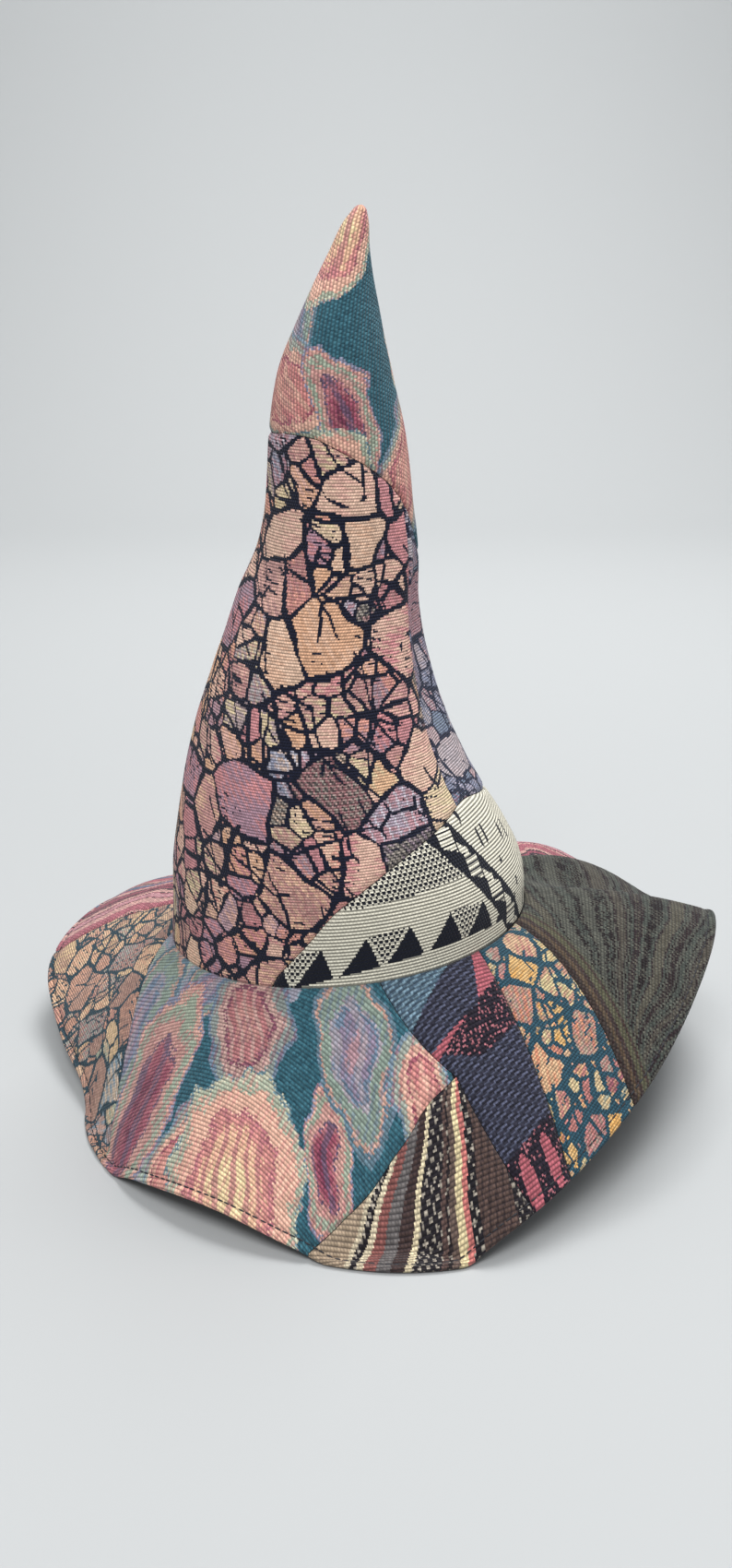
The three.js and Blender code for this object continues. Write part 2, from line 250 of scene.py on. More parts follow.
def slant_to(height):
    """How far a height is up the crown's slope from the foot, in millimetres."""
    length = 0.0
    last = CROWN_SECTIONS[0]
    for section in CROWN_SECTIONS[1:]:
        share = min(max((height - last[0]) / (section[0] - last[0]), 0.0), 1.0)
        length += share * math.hypot(section[0] - last[0], section[4] - last[4])
        last = section
    return length


def crown_map(middle):
    """Where a point of the crown lies on its flat cloth, in centimetres from the middle of the foot."""
    def lie(azimuth, height):
        half_width, half_depth = crown_section(height)[2:]
        around = math.radians(azimuth - middle) * (half_width + half_depth) / 2
        return around * PER_CM, slant_to(height) * PER_CM
    return lie


def seam_steps(length):
    """Places from 0 to 1 along a panel, close together in the rolled cloth beside its seams."""
    rolled = SEAM_STEPS[-1]
    inner = length - 2 * rolled
    count = max(2, round(inner / PANEL_STEP))
    middle = [rolled + inner * i / count for i in range(1, count)]
    places = SEAM_STEPS + middle + [length - place for place in reversed(SEAM_STEPS)]
    return [place / length for place in places]


def creases(point):
    """How far soft handling has pushed the cloth in or out at a point, in millimetres."""
    wide, tall, deep = BROAD_CREASES
    broad = deep * noise.noise(Vector((point.x / wide, point.y / wide, point.z / tall)))
    wide, tall, deep = SMALL_CREASES
    small = deep * noise.noise(Vector((point.x / wide + SMALL_CREASES_SHIFT, point.y / wide, point.z / tall)))
    held_by_foot_seam = 1.0 - math.exp(-((point.z - FOOT_HEIGHT) / FOOT_HOLDS) ** 2)
    return (broad + small) * held_by_foot_seam


def grid_of(name, wide, tall, points, lies):
    """A smooth grid with its vertices at points in millimetres, row by row, and a flat cloth map."""
    bpy.ops.object.select_all(action="DESELECT")
    bpy.ops.mesh.primitive_grid_add(x_subdivisions=wide, y_subdivisions=tall, size=1.0)
    piece = bpy.context.object
    piece.name = name
    piece.data.name = name
    numbers = []
    for vertex in piece.data.vertices:
        column = round((vertex.co.x + 0.5) * wide)
        row = round((vertex.co.y + 0.5) * tall)
        numbers.append(row * (wide + 1) + column)
        vertex.co = (points[numbers[-1]] - HAT_MIDDLE) * MM
    for layer in list(piece.data.uv_layers):
        piece.data.uv_layers.remove(layer)
    cloth_map = piece.data.uv_layers.new(name="Cloth")
    for loop in piece.data.loops:
        cloth_map.data[loop.index].uv = lies[numbers[loop.vertex_index]]
    bpy.ops.object.shade_smooth()
    return piece


def lay_cloth(name, columns, rows, place, surface, lie, thickness, ring=False, sewn=(1, 1, 1, 1)):
    """A sheet of cloth as a fine grid over a surface, its sewn edges rolled in, with a flat cloth map.

    place turns two shares from 0 to 1 into the surface's own two measures; sewn says which of the
    left, right, lower and upper edges dip into a seam."""
    wide = len(columns) - 1
    tall = len(rows) - 1
    spots = [[place(s, t) for s in columns] for t in rows]
    points = [[surface(*spot) for spot in line] for line in spots]
    left = [[0.0] * (wide + 1) for _ in rows]
    lower = [[0.0] * (wide + 1) for _ in rows]
    for r in range(tall + 1):
        for c in range(wide + 1):
            if c:
                left[r][c] = left[r][c - 1] + (points[r][c] - points[r][c - 1]).length
            if r:
                lower[r][c] = lower[r - 1][c] + (points[r][c] - points[r - 1][c]).length
    moved = []
    lies = []
    for r in range(tall + 1):
        for c in range(wide + 1):
            a, b = spots[r][c]
            along_a = surface(a + PROBE, b) - surface(a - PROBE, b)
            along_b = surface(a, b + PROBE) - surface(a, b - PROBE)
            outward = along_a.cross(along_b).normalized()
            away = [left[r][c], left[r][wide] - left[r][c], lower[r][c], lower[tall][c] - lower[r][c]]
            running = [lower[r][c], lower[r][c], left[r][c], left[r][c]]
            dip = 0.0
            for edge in range(4):
                if sewn[edge]:
                    pucker = PUCKER_DEEP * math.sin(2 * math.pi * running[edge] / PUCKER_PITCH)
                    dip = max(dip, (SEAM_DIP + pucker) * math.exp(-(away[edge] / SEAM_ROLL) ** 2))
            moved.append(points[r][c] + outward * (creases(points[r][c]) - dip))
            lies.append(lie(a, b))
    piece = grid_of(name, wide, tall, moved, lies)
    if ring:
        weld(piece)
    thicken(piece, thickness)
    return piece


def weld(piece, turn_over=False):
    """Join a sheet's edges where they meet, and turn its outer face over if it faces down."""
    bpy.ops.object.mode_set(mode="EDIT")
    bpy.ops.mesh.select_all(action="SELECT")
    bpy.ops.mesh.remove_doubles(threshold=WELD)
    if turn_over:
        bpy.ops.mesh.flip_normals()
    bpy.ops.object.mode_set(mode="OBJECT")


def thicken(piece, thickness):
    """Give a sheet its cloth's thickness, behind its outer face."""
    wall = piece.modifiers.new("cloth_thickness", "SOLIDIFY")
    wall.thickness = thickness * MM
    wall.offset = -1.0
    bpy.context.view_layer.objects.active = piece
    bpy.ops.object.modifier_apply(modifier=wall.name)


def linear(code):
    """A colour for a shader socket, from the six digits it has on a screen."""
    parts = [int(code[i:i + 2], 16) / 255 for i in (0, 2, 4)]
    return (*(part / 12.92 if part <= 0.04045 else ((part + 0.055) / 1.055) ** 2.4 for part in parts), 1.0)


class Tapestry:
    """A tapestry cloth on the loom: its shader nodes, and the stitch that each point lies in."""

    STITCH = 0.09
    TWILL = math.atan2(3, 4)
    BEAD_DEEP = 0.6
    BRIGHT = 1.08
    RELIEF = 0.0009

    def __init__(self, name, turned=False, rib=0.18, bead=0.18, shift=0.36):
        self.rib = rib
        self.bead = bead
        self.shift = shift
        self.material = bpy.data.materials.new(name)
        self.material.use_nodes = True
        self.nodes = self.material.node_tree.nodes
        self.shader = self.nodes["Principled BSDF"]
        cloth = self.add("UVMap", uv_map="Cloth").outputs[0]
        self.weft, self.warp = self.split(cloth)
        if turned:
            self.weft, self.warp = self.warp, self.weft
        step = (self.STITCH, self.STITCH, 1.0)
        half = (self.STITCH / 2, self.STITCH / 2, 0.0)
        self.stitch = self.vector("ADD", self.vector("SNAP", cloth, step), half)
        self.u, self.v = self.split(self.stitch)

    def add(self, kind, inputs=None, **options):
        """One node with its options set and its inputs filled or linked."""
        node = self.nodes.new("ShaderNode" + kind)
        for option, value in options.items():
            setattr(node, option, value)
        for socket, value in (inputs or {}).items():
            if isinstance(value, bpy.types.NodeSocket):
                self.material.node_tree.links.new(value, node.inputs[socket])
            else:
                node.inputs[socket].default_value = value
        return node

    def split(self, vector):
        return self.add("SeparateXYZ", {0: vector}).outputs[:2]

    def sum(self, operation, *values):
        """A Math node's result."""
        return self.add("Math", dict(enumerate(values)), operation=operation).outputs[0]

    # Sums by short names: under and over give 1 or 0, line is a value times a slope plus a start, and far
    # is a value without its sign
    plus = partialmethod(sum, "ADD")
    less = partialmethod(sum, "SUBTRACT")
    line = partialmethod(sum, "MULTIPLY_ADD")
    per = partialmethod(sum, "DIVIDE")
    under = partialmethod(sum, "LESS_THAN")
    over = partialmethod(sum, "GREATER_THAN")
    far = partialmethod(sum, "ABSOLUTE")
    fract = partialmethod(sum, "FRACT")
    floor = partialmethod(sum, "FLOOR")
    larger = partialmethod(sum, "MAXIMUM")

    def times(self, *values):
        """The product of several values, or of several shares from 0 to 1."""
        total = values[0]
        for value in values[1:]:
            total = self.sum("MULTIPLY", total, value)
        return total

    def vector(self, operation, *values):
        """A Vector Math node's result."""
        return self.add("VectorMath", dict(enumerate(values)), operation=operation).outputs[0]

    def length(self, vector):
        return self.add("VectorMath", {0: vector}, operation="LENGTH").outputs["Value"]

    def soft(self, value, start, end, first, last):
        """A smooth change from a first number to a last one, while a value goes from start to end."""
        inputs = {"Value": value, "From Min": start, "From Max": end, "To Min": first, "To Max": last}
        return self.add("MapRange", inputs, interpolation_type="SMOOTHSTEP").outputs[0]

    def side(self, across, along, limit):
        """1 on one side of a straight line drawn on the cloth, else 0."""
        return self.under(self.line(self.v, along, self.times(self.u, across)), limit)

    def blend(self, share, lower, upper):
        """One value mixed with another by a share from 0 to 1."""
        return self.add("Mix", {0: share, 2: lower, 3: upper}).outputs[0]

    def mix(self, share, lower, upper):
        """One colour or colour code laid over another by a share from 0 to 1."""
        lower, upper = (linear(yarn) if isinstance(yarn, str) else yarn for yarn in (lower, upper))
        return self.add("Mix", {0: share, 6: lower, 7: upper}, data_type="RGBA").outputs[2]

    def bands(self, value, stops, smooth=False):
        """Yarn colours by value, from a list of starts and colour codes."""
        ramp = self.add("ValToRGB", {0: value})
        ramp.color_ramp.interpolation = "LINEAR" if smooth else "CONSTANT"
        while len(ramp.color_ramp.elements) < len(stops):
            ramp.color_ramp.elements.new(1.0)
        for element, (start, code) in zip(ramp.color_ramp.elements, stops):
            element.position = start
            element.color = linear(code)
        return ramp.outputs[0]

    def moved(self, seed):
        return self.vector("ADD", self.stitch, (seed, seed * 1.7, 0.0))

    def cloudy(self, scale, detail=2.0, seed=0.0):
        """Soft noise from about 0.2 to 0.8 over the stitches."""
        inputs = {"Vector": self.moved(seed), "Scale": scale, "Detail": detail}
        return self.add("TexNoise", inputs, noise_dimensions="2D").outputs[0]

    def chance(self):
        """A random share for each stitch."""
        return self.add("TexWhiteNoise", {"Vector": self.stitch}, noise_dimensions="2D").outputs["Value"]

    def wander(self, amount, scale, seed=0.0):
        """The stitches' places pushed about, so that drawn lines waver."""
        inputs = {"Vector": self.moved(seed), "Scale": scale, "Detail": 0.3}
        push = self.add("TexNoise", inputs, noise_dimensions="2D").outputs[1]
        middle = self.vector("SUBTRACT", push, (0.5, 0.5, 0.5))
        return self.vector("MULTIPLY_ADD", middle, (amount, amount, 0.0), self.stitch)

    def crackle(self, places, size):
        """Centimetres to the nearest crackle line, each cell's middle and three random shares."""
        inputs = {"Vector": places, "Scale": 1.0 / size, "Randomness": 1.0}
        edge = self.add("TexVoronoi", inputs, voronoi_dimensions="2D", feature="DISTANCE_TO_EDGE")
        cell = self.add("TexVoronoi", inputs, voronoi_dimensions="2D", feature="F1")
        shares = self.add("SeparateColor", {0: cell.outputs["Color"]}).outputs[:3]
        return self.times(edge.outputs["Distance"], size), cell.outputs["Position"], shares

    def laid(self, centre, reach, turn=0.0, places=None):
        """Places on a drawing laid on the cloth: 0 at its centre and 1 at its reach across and along."""
        inputs = {0: places or self.stitch, 1: (*centre, 0.0), 2: (0.0, 0.0, turn), 3: (*reach, 1.0)}
        return self.add("Mapping", inputs, vector_type="TEXTURE").outputs[0]

    def around(self, centre, reach, places=None):
        """How far a stitch is from a place, 0 there and 1 at the reach across and along the cloth."""
        return self.length(self.laid(centre, reach, 0.0, places))

    def spot(self, centre, reach, places=None):
        """A soft share, 1 at a place on the cloth and 0 beyond the reach."""
        return self.soft(self.around(centre, reach, places), 0.3, 1.0, 1.0, 0.0)

    def stripes(self, pitch, turn=0.0, share=0.5):
        """1 on fine stripes of a pitch in centimetres, 0 between them."""
        across = self.times(self.u, math.cos(turn) / pitch)
        place = self.line(self.v, math.sin(turn) / pitch, across)
        return self.under(self.fract(place), share)

    def dots(self, pitch, share=0.5):
        """1 on small dots set in slanting rows, 0 between them."""
        return self.times(self.stripes(pitch, self.TWILL, share), self.stripes(pitch, -self.TWILL, share))

    def finish(self, colour, groove="1b1a24", depth=0.5, fleck=0.5):
        """Weave the colours in ribs of small stitches, with a darker warp showing between them and painted
        shade in the grooves.
        """
        row_place = self.per(self.warp, self.rib)
        row = self.floor(row_place)
        along = self.line(row, self.shift, self.per(self.weft, self.bead))
        rib = self.sum("SINE", self.times(self.fract(row_place), math.pi))
        bead = self.sum("SINE", self.times(self.fract(along), math.pi))
        relief = self.times(rib, self.line(bead, self.BEAD_DEEP, 1.0 - self.BEAD_DEEP))
        which = self.add("CombineXYZ", {0: self.floor(along), 1: row}).outputs[0]
        chance = self.add("TexWhiteNoise", {"Vector": which}, noise_dimensions="2D").outputs["Value"]
        shade = self.line(chance, fleck, self.BRIGHT - fleck / 2)
        lit = self.add("VectorMath", {0: colour, "Scale": shade}, operation="SCALE").outputs[0]
        # Painted shade: where the ribs and beads sink, the colour is mixed towards the dark groove colour,
        # which stands for the dark warp yarn and for the shade in the grooves.
        warp_and_groove_shade = self.soft(relief, 0.12, 0.72, depth, 0.0)
        woven = self.mix(warp_and_groove_shade, lit, groove)
        bump = self.add("Bump", {"Strength": 0.8, "Distance": self.RELIEF, "Height": relief})
        links = self.material.node_tree.links
        links.new(woven, self.shader.inputs["Base Color"])
        links.new(bump.outputs[0], self.shader.inputs["Normal"])
        self.shader.inputs["Roughness"].default_value = 0.92
        self.shader.inputs["Specular IOR Level"].default_value = 0.18
        self.shader.inputs["Sheen Weight"].default_value = 0.1
        self.shader.inputs["Sheen Roughness"].default_value = 0.5
        return self.material


def dress(piece, material, node):
    """Put a cloth on a sheet, hang the sheet under the root and hide the part that it stands for."""
    piece.data.materials.append(material)
    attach(piece, "root")
    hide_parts(node)


def crown_panel(name, start, end, lower, upper, middle):
    """A crown panel between two seams by azimuth and two by height."""
    mean_arc = math.radians(end - start) * CROWN_SECTIONS[0][3] * MEAN_ARC
    rise = max(upper(azimuth) - lower(azimuth) for azimuth in range(int(start), int(end), 4))

    def place(s, t):
        azimuth = start + (end - start) * s
        return azimuth, lower(azimuth) + (upper(azimuth) - lower(azimuth)) * t

    columns = seam_steps(mean_arc)
    return lay_cloth(name, columns, seam_steps(rise), place, crown_point, crown_map(middle), CROWN_CLOTH)


def foot_edge(azimuth):
    return FOOT_HEIGHT - FOOT_TUCK


def under_tip(azimuth):
    return tip_seam(azimuth)[0] - SEAM_HALF_GAP


def beside_side(azimuth):
    """The lower edge of the tall panels: along the side panel where it is there, else along the foot."""
    if SIDE_TOP[0][0] < azimuth < SIDE_TOP[-1][0]:
        return side_top(azimuth)[0] + SEAM_HALF_GAP
    return foot_edge(azimuth)


front_panel = crown_panel("front_panel", LEFT_SEAM + SEAM_GAP_TURN, RIGHT_SEAM - SEAM_GAP_TURN,
                          beside_side, under_tip, FRONT_MIDDLE)


def crackle_cloth(name, palette, shades, line, zones, sizes, widths, seed, calm=(), tweed=(2.0, 3.0)):
    """Tapestry of many-coloured cells between dark lines, with finer cells inside some of the large ones.

    Each cell has one yarn of the palette, shaded by stripes and specks of one of the shades. zones are soft
    places on the cloth that shift the palette, and calm ones keep their large cells whole. sizes and widths
    are those of the large and the fine cells and of their lines, in centimetres. tweed is the part of the
    palette that has dark twill lines; past it the yarns have pale stripes."""
    cloth = Tapestry(name, rib=0.14, bead=0.14, shift=0.5)
    places = cloth.wander(0.5, 0.6, seed)

    # Lines: round large cells, round fine cells inside the busy ones, and slanting ones across
    large_edge, large_middle, large = cloth.crackle(places, sizes[0])
    fine_edge, fine_middle, fine = cloth.crackle(places, sizes[1])
    busy = 0.64
    for centre, reach in calm:
        busy = cloth.less(busy, cloth.spot(centre, reach, large_middle))
    split = cloth.under(large[2], busy)
    swell = cloth.line(cloth.cloudy(0.9, 1.0, seed + 3), 1.8, 0.1)
    large_line = cloth.under(large_edge, cloth.times(swell, widths[0] / 2))
    fine_line = cloth.under(fine_edge, cloth.times(swell, widths[1] / 2))
    slanted = cloth.laid((0.0, 0.0), (0.62, 1.35), 0.5, places)
    cross_edge = cloth.crackle(slanted, sizes[0] * 0.9)[0]
    crossed = cloth.under(cloth.cloudy(0.3, 1.0, seed + 23), 0.5)
    cross_line = cloth.times(cloth.under(cross_edge, widths[1] / 2), crossed)
    lines = cloth.larger(large_line, cloth.larger(cross_line, cloth.times(fine_line, split)))

    # Cells: a main yarn by chance and by zone, and a second yarn in slanting stripes and specks
    middle = cloth.add("Mix", {0: split, 4: large_middle, 5: fine_middle}, data_type="VECTOR").outputs[1]
    zone = 0.0
    for centre, reach, shift in zones:
        zone = cloth.line(cloth.spot(centre, reach, middle), shift, zone)
    first = cloth.blend(split, large[0], fine[0])
    second = cloth.blend(split, large[1], fine[1])
    value = cloth.line(first, 0.42, zone)
    slanting = cloth.blend(cloth.under(second, 0.5), cloth.stripes(0.36, 0.6), cloth.stripes(0.36, 1.3))
    drift = cloth.line(cloth.cloudy(0.7, seed=seed + 9), 5.0, -2.6)
    drift = cloth.line(slanting, 0.9, drift)
    share = cloth.add("Clamp", {0: cloth.line(cloth.chance(), 0.7, drift)}).outputs[0]
    cells = cloth.mix(cloth.times(share, 0.75), cloth.bands(value, palette), cloth.bands(second, shades))

    # Figures inside the cells: twill, pale stripes, plaid, and scribbled rows in the colour of the lines
    twill = cloth.times(cloth.over(value, tweed[0]), cloth.under(value, tweed[1]))
    twill = cloth.times(twill, cloth.stripes(0.216, cloth.TWILL))
    cells = cloth.mix(cloth.times(twill, 0.8), cells, "2a2a30")
    pale = cloth.times(cloth.over(value, tweed[1]), cloth.stripes(0.45, 0.25, 0.22))
    cells = cloth.mix(cloth.times(pale, 0.7), cells, "dcd8e2")
    grid = cloth.larger(cloth.stripes(0.36, 0.1, 0.26), cloth.stripes(0.36, 0.1 + math.pi / 2, 0.26))
    plaid = cloth.times(cloth.over(second, 0.76), grid)
    cells = cloth.mix(cloth.times(plaid, 0.45), cells, "b5727a")
    rows = cloth.times(cloth.stripes(0.36, 1.35, 0.3), cloth.under(cloth.cloudy(2.6, 1.0, seed + 31), 0.5))
    scribble = cloth.times(rows, cloth.under(cloth.cloudy(0.55, 1.0, seed + 29), 0.4))
    return cloth.finish(cloth.mix(cloth.larger(lines, scribble), cells, line), depth=0.42, fleck=0.45)


CRACKLE_PALETTE = [
    (0.0, "eba898"), (0.09, "f0c3a6"), (0.18, "dd9799"), (0.28, "edbcac"), (0.36, "ead4ac"), (0.5, "d6a79b"),
    (0.55, "aaa096"), (0.86, "9699ad"), (0.95, "b3a4b3"),
]
CRACKLE_ZONES = [
    ((-1.3, 16.6), (3.2, 3.6), 0.18),
    ((0.8, 24.4), (2.4, 1.6), 0.2),
    ((-1.0, 10.2), (4.2, 3.6), 0.56),
    ((4.6, 8.2), (2.8, 3.4), 0.86),
    ((1.3, 18.2), (2.0, 1.6), 0.6),
    ((-4.0, 25.2), (2.0, 2.5), 0.86),
    ((6.0, 15.0), (2.2, 6.0), 0.5),
    ((-12.0, 9.0), (3.0, 12.0), 0.3),
]
CRACKLE_SHADES = [
    (0.0, "c88d92"), (0.2, "f0cdb4"), (0.42, "a78fa3"), (0.58, "eab48f"), (0.74, "b98d8c"), (0.88, "9a95a8"),
]
CRACKLE_CALM = [((-1.3, 16.6), (2.2, 2.8)), ((0.4, 24.6), (2.2, 1.6)), ((3.8, 9.0), (2.0, 2.2))]
crackle = crackle_cloth("crackle_tapestry", CRACKLE_PALETTE, CRACKLE_SHADES, "161a2e", CRACKLE_ZONES,
                        (2.55, 1.35), (0.25, 0.18), 4.0, CRACKLE_CALM, (0.55, 0.86))
dress(front_panel, crackle, "crown_front_panel")


# Crown back panel
# The piece that closes the crown behind, in the same weight of tapestry: slate and lavender cells between
# fine navy lines. It is sewn to the front panel along two upright seams.
BACK_MIDDLE = 60
back_panel = crown_panel("back_panel", RIGHT_SEAM + SEAM_GAP_TURN, LEFT_SEAM + 360 - SEAM_GAP_TURN,
                         beside_side, under_tip, BACK_MIDDLE)
SLATE_PALETTE = [
    (0.0, "9a9ab0"), (0.1, "b3abbb"), (0.2, "c09ba0"), (0.3, "8793a4"), (0.4, "bfb3b8"), (0.52, "757d90"),
]
SLATE_ZONES = [((0.0, 9.0), (9.0, 6.0), 0.16), ((-10.0, 11.0), (4.0, 5.0), 0.2)]
SLATE_SHADES = [(0.0, "868fa8"), (0.3, "c9b6b8"), (0.55, "75809a"), (0.8, "b493a0")]
slate = crackle_cloth("slate_crackle_tapestry", SLATE_PALETTE, SLATE_SHADES, "262c44", SLATE_ZONES,
                      (2.6, 1.3), (0.22, 0.16), 21.0)
dress(back_panel, slate, "crown_back_panel")


# Crown side panel
# A long crescent of cream cloth along the crown's foot, with a row of black triangles, dotted tweed between
# some of them, and a slanting band of black with dashed ladders. Sewn in under the two tall panels.
SIDE_GAP_TURN = 0.4
SIDE_MIDDLE = -60


def under_side(azimuth):
    return side_top(azimuth)[0] - SEAM_HALF_GAP


side_panel = crown_panel("side_panel", SIDE_TOP[0][0] + SIDE_GAP_TURN, SIDE_TOP[-1][0] - SIDE_GAP_TURN,
                         foot_edge, under_side, SIDE_MIDDLE)


def triangle_cloth():
    """Cream cloth with black triangles on a curved line, a tweed wedge and a slanting patterned band."""
    cloth = Tapestry("triangle_tapestry")
    u, v = cloth.u, cloth.v
    cream, black = "eee9d6", "141824"
    tweed = cloth.mix(cloth.dots(0.216, 0.72), cream, black)
    ribbed = cloth.mix(cloth.stripes(0.18, math.pi / 2, 0.4), cream, "b1ad9e")

    # Black triangles stand in a row on a curved line, and tweed ones hang in every second gap
    pitch, half_foot, tall, skew, first_foot = 2.2, 0.97, 1.75, 0.23, 0.18
    from_middle = cloth.less(u, 0.8)
    base = cloth.line(cloth.times(from_middle, from_middle), -0.0173, 1.1)
    up = cloth.less(v, cloth.larger(base, 0.0))
    above = cloth.over(up, 0.0)
    upright = cloth.line(up, -skew, cloth.less(u, first_foot))
    step = cloth.plus(cloth.per(upright, pitch), 20.5)
    aside = cloth.times(cloth.far(cloth.less(cloth.fract(step), 0.5)), pitch)
    slope = tall / half_foot
    standing = cloth.times(cloth.under(up, cloth.line(aside, -slope, tall)), above)
    from_gap = cloth.less(pitch / 2, aside)
    hanging = cloth.times(cloth.over(up, cloth.times(from_gap, slope)), cloth.under(up, tall), above)
    gap_number = cloth.floor(cloth.plus(step, 0.5))
    second_gap = cloth.over(cloth.fract(cloth.times(gap_number, 0.5)), 0.3)
    colour = cloth.mix(cloth.times(hanging, second_gap), ribbed, tweed)
    colour = cloth.mix(standing, colour, black)
    wedge = cloth.less(1.0, cloth.side(-0.067, 1.0, 4.33))
    colour = cloth.mix(wedge, colour, tweed)

    # A black band slants across, with leaning ladders in a row and cream slivers between them
    lean, band_middle, band_half, ladder_pitch, ladder_middle = 0.613, 5.8, 0.98, 1.9, 5.67
    slant = cloth.less(cloth.line(v, lean, u), band_middle)
    in_band = cloth.under(cloth.far(slant), band_half)
    run = cloth.plus(v, 20.0 - ladder_middle + 0.5 * ladder_pitch)
    run = cloth.fract(cloth.per(run, ladder_pitch))
    local_v = cloth.times(cloth.less(run, 0.5), ladder_pitch)
    local_u = cloth.line(local_v, -lean, slant)
    leaning_v = cloth.line(local_u, 0.5, local_v)
    ladder = cloth.times(cloth.under(cloth.far(local_u), 0.46), cloth.under(cloth.far(leaning_v), 0.64))
    rungs = cloth.mix(cloth.stripes(0.34, math.pi / 2, 0.3), cream, black)
    from_ladders = cloth.less(ladder_pitch / 2, cloth.far(local_v))
    sliver = cloth.line(from_ladders, 0.55, cloth.far(cloth.less(slant, 0.3)))
    sliver = cloth.under(sliver, 0.3)
    colour = cloth.mix(in_band, colour, black)
    colour = cloth.mix(cloth.times(in_band, sliver), colour, cream)
    colour = cloth.mix(cloth.times(in_band, ladder), colour, rungs)

    # Beyond the band the cloth is plain, with a few long black dashes
    stretched = cloth.vector("MULTIPLY", cloth.stitch, (1.1, 0.21, 0.0))
    inputs = {"Vector": stretched, "Scale": 1.0, "Randomness": 1.0}
    dash = cloth.add("TexVoronoi", inputs, voronoi_dimensions="2D").outputs["Distance"]
    few = cloth.under(cloth.cloudy(0.4, 1.0, 12.0), 0.56)
    plain = cloth.mix(cloth.times(cloth.under(dash, 0.12), few), ribbed, black)
    return cloth.finish(cloth.mix(cloth.over(slant, band_half), colour, plain), depth=0.4, fleck=0.16)


dress(side_panel, triangle_cloth(), "crown_side_panel")


# Pointed end
# One piece of banded tapestry wrapped to a point and sewn up behind: rounded pebbles of sage, rose and peach
# on a teal ribbed ground. Its lower edge is sewn over the two tall panels.
TIP_APEX = Vector((7.6, 4.0, 443.5))
TIP_TOP_ROW = 441.5
TIP_LEFT_OPEN = 0.02
TIP_SEAM_BEHIND = 90.0
TIP_MIDDLE = 270
TIP_AROUND = 96
TIP_SLANT = 130.0
TIP_CLOSING = [0.985, 0.991, 0.996, 0.999]


def tip_point(azimuth, height):
    """The crown's outside, closing over its last section to the point."""
    if height <= TIP_TOP_ROW:
        return crown_point(azimuth, height)
    rise = min((height - TIP_TOP_ROW) / (TIP_APEX.z - TIP_TOP_ROW), 1.0)
    ring = crown_point(azimuth, TIP_TOP_ROW)
    inward = 1.0 - math.sqrt(max(1.0 - rise, 0.0))
    flat = ring.lerp(TIP_APEX, inward)
    return Vector((flat.x, flat.y, height))


def tip_place(s, t):
    azimuth = TIP_SEAM_BEHIND + 360.0 * s
    low = tip_seam(azimuth)[0] + SEAM_HALF_GAP
    return azimuth, low + (TIP_APEX.z - TIP_LEFT_OPEN - low) * t


tip_columns = [i / TIP_AROUND for i in range(TIP_AROUND + 1)]
tip_rows = sorted({*seam_steps(TIP_SLANT)[:-3], *TIP_CLOSING})
tip_panel = lay_cloth("tip_panel", tip_columns, tip_rows, tip_place, tip_point, crown_map(TIP_MIDDLE),
                      CROWN_CLOTH, ring=True, sewn=(0, 0, 1, 0))


def banded_cloth(name, veils, pebbles, seed, turned=False):
    """Teal tapestry with rounded pebbles laid over each other on it, each banded from its heart to its rim.

    Veils are places where the teal gives way to grey blue. A pebble has a centre, a reach across and along,
    a turn, its bands from heart to rim, and the number of stripes in its heart."""
    cloth = Tapestry(name, turned)
    places = cloth.wander(1.1, 0.45, seed)
    colour = cloth.mix(cloth.chance(), "2b5564", "41717f")
    ripple = cloth.line(cloth.cloudy(1.2, 1.0, seed + 11), 0.2, -0.1)
    grain = cloth.line(cloth.chance(), 0.07, -0.035)
    greys = cloth.bands(cloth.plus(cloth.cloudy(0.5, 1.0, seed + 5), grain), [
        (0.0, "9f9dab"), (0.42, "8da2af"), (0.5, "b3aab0"), (0.56, "a2afa4"),
    ])
    for centre, reach in veils:
        veil = cloth.under(cloth.plus(cloth.around(centre, reach, places), ripple), 1.0)
        colour = cloth.mix(veil, colour, greys)
    patchy = cloth.under(cloth.cloudy(0.7, 1.0, seed + 17), 0.52)
    for centre, reach, turn, bands, stripes in pebbles:
        laid = cloth.laid(centre, reach, turn, places)
        far = cloth.plus(cloth.length(laid), ripple)
        pebble = cloth.bands(cloth.plus(far, grain), bands)
        across = cloth.fract(cloth.line(cloth.split(laid)[0], stripes / 2, 10.0))
        heart = cloth.times(cloth.under(far, 0.56), cloth.under(across, 0.36))
        pebble = cloth.mix(cloth.times(heart, 0.75), pebble, bands[3][1])
        hatched = cloth.times(cloth.stripes(0.36, turn + 0.5, 0.4), patchy)
        pebble = cloth.mix(cloth.times(hatched, 0.5), pebble, bands[2][1])
        colour = cloth.mix(cloth.under(far, 1.0), colour, pebble)
    return cloth.finish(colour, depth=0.42, fleck=0.42)


ROSE_BANDS = [
    (0.0, "7d3f55"), (0.26, "9c5365"), (0.44, "b9767c"), (0.5, "6d5a72"), (0.54, "cf9f95"), (0.7, "a4ae9b"),
    (0.86, "d9aa9c"), (0.94, "8c8fa6"),
]
PEACH_BANDS = [
    (0.0, "f9dcae"), (0.26, "f5c5a4"), (0.46, "dd9790"), (0.56, "bd7880"), (0.6, "f2bfa9"), (0.84, "b3baa5"),
    (0.93, "cbc8b1"), (0.97, "76919b"),
]
LILAC_BANDS = [
    (0.0, "b8929a"), (0.2, "93869b"), (0.4, "74869b"), (0.5, "aaa0a8"), (0.56, "8f9f93"), (0.8, "c9a294"),
    (0.88, "66818f"),
]
CORAL_BANDS = [
    (0.0, "e2a396"), (0.34, "d58d88"), (0.54, "a8616e"), (0.6, "e6b6a2"), (0.76, "a5aba0"), (0.9, "8195a5"),
]
DUSK_BANDS = [
    (0.0, "c48f88"), (0.34, "ba7c7d"), (0.54, "8a5666"), (0.6, "c8a49b"), (0.76, "959d99"), (0.9, "76899d"),
]
